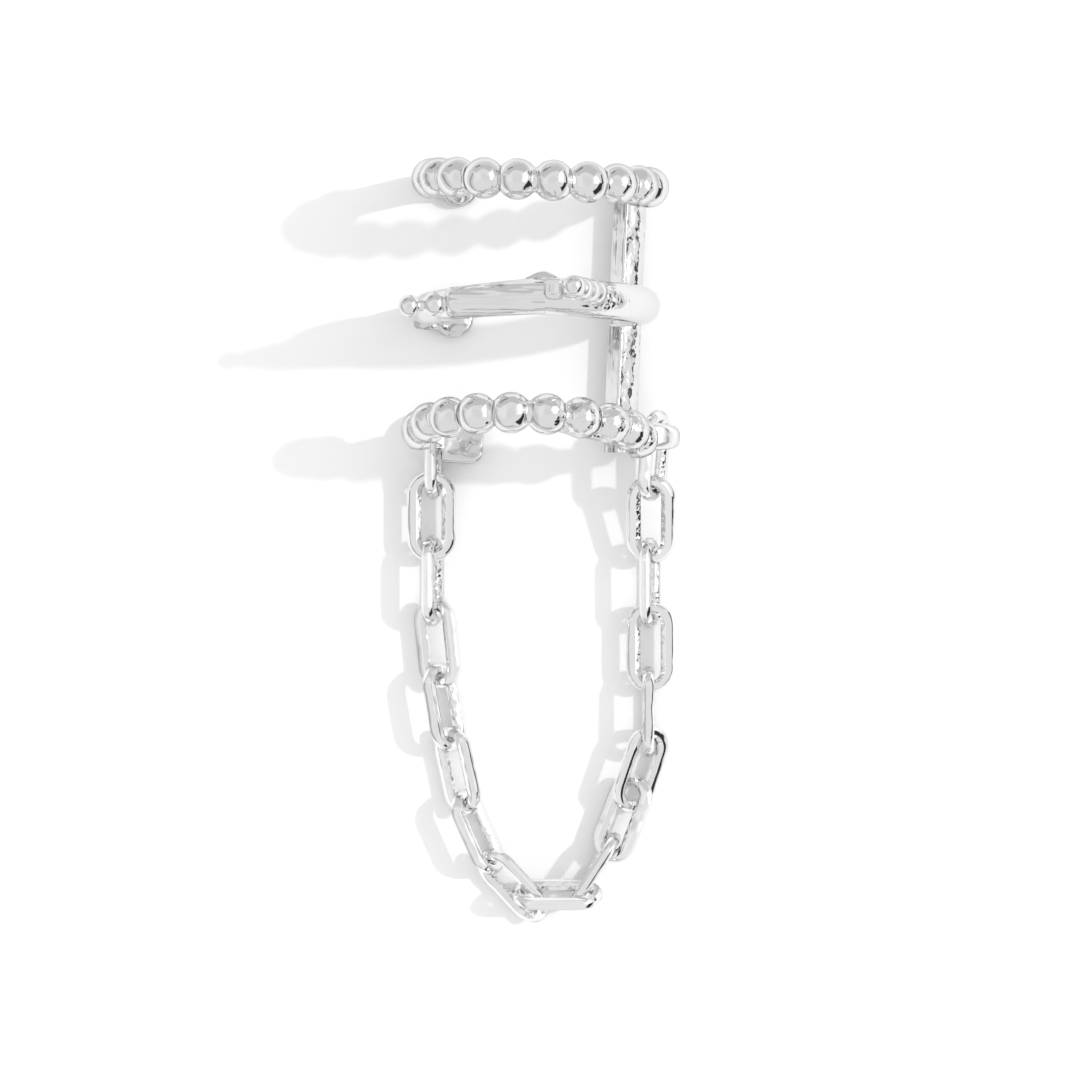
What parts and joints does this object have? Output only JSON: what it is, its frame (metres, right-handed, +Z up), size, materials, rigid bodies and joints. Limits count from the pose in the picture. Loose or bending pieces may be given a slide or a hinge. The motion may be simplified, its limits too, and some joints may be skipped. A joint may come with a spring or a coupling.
{
  "type": "ear cuff with draped chain",
  "caption": "Silver ear cuff of two beaded bands and a plain band with a horn and a beaded stalk, joined by a back bar, with a link chain draped from its lowest band.",
  "frame": {"origin": "middle of the box around the part, on the surface that it lies on", "axes": "+Y along the axis of the three bands, from the chain towards the top band; +Z up from the surface, towards the bands' fronts; +X to the right seen from above"},
  "size_m": [0.0142, 0.0374, 0.0129],
  "materials": {
    "cuff": "polished silver",
    "chain": "bright silver"
  },
  "bodies": {
    "root": {"cuff": "cuff", "link_01": "chain", "link_02": "chain", "link_03": "chain", "link_04": "chain", "link_05": "chain", "link_06": "chain", "link_07": "chain", "link_08": "chain", "link_09": "chain", "link_10": "chain", "link_11": "chain", "link_12": "chain", "link_13": "chain", "link_14": "chain", "link_15": "chain", "link_16": "chain", "link_17": "chain"}
  },
  "joints": []
}
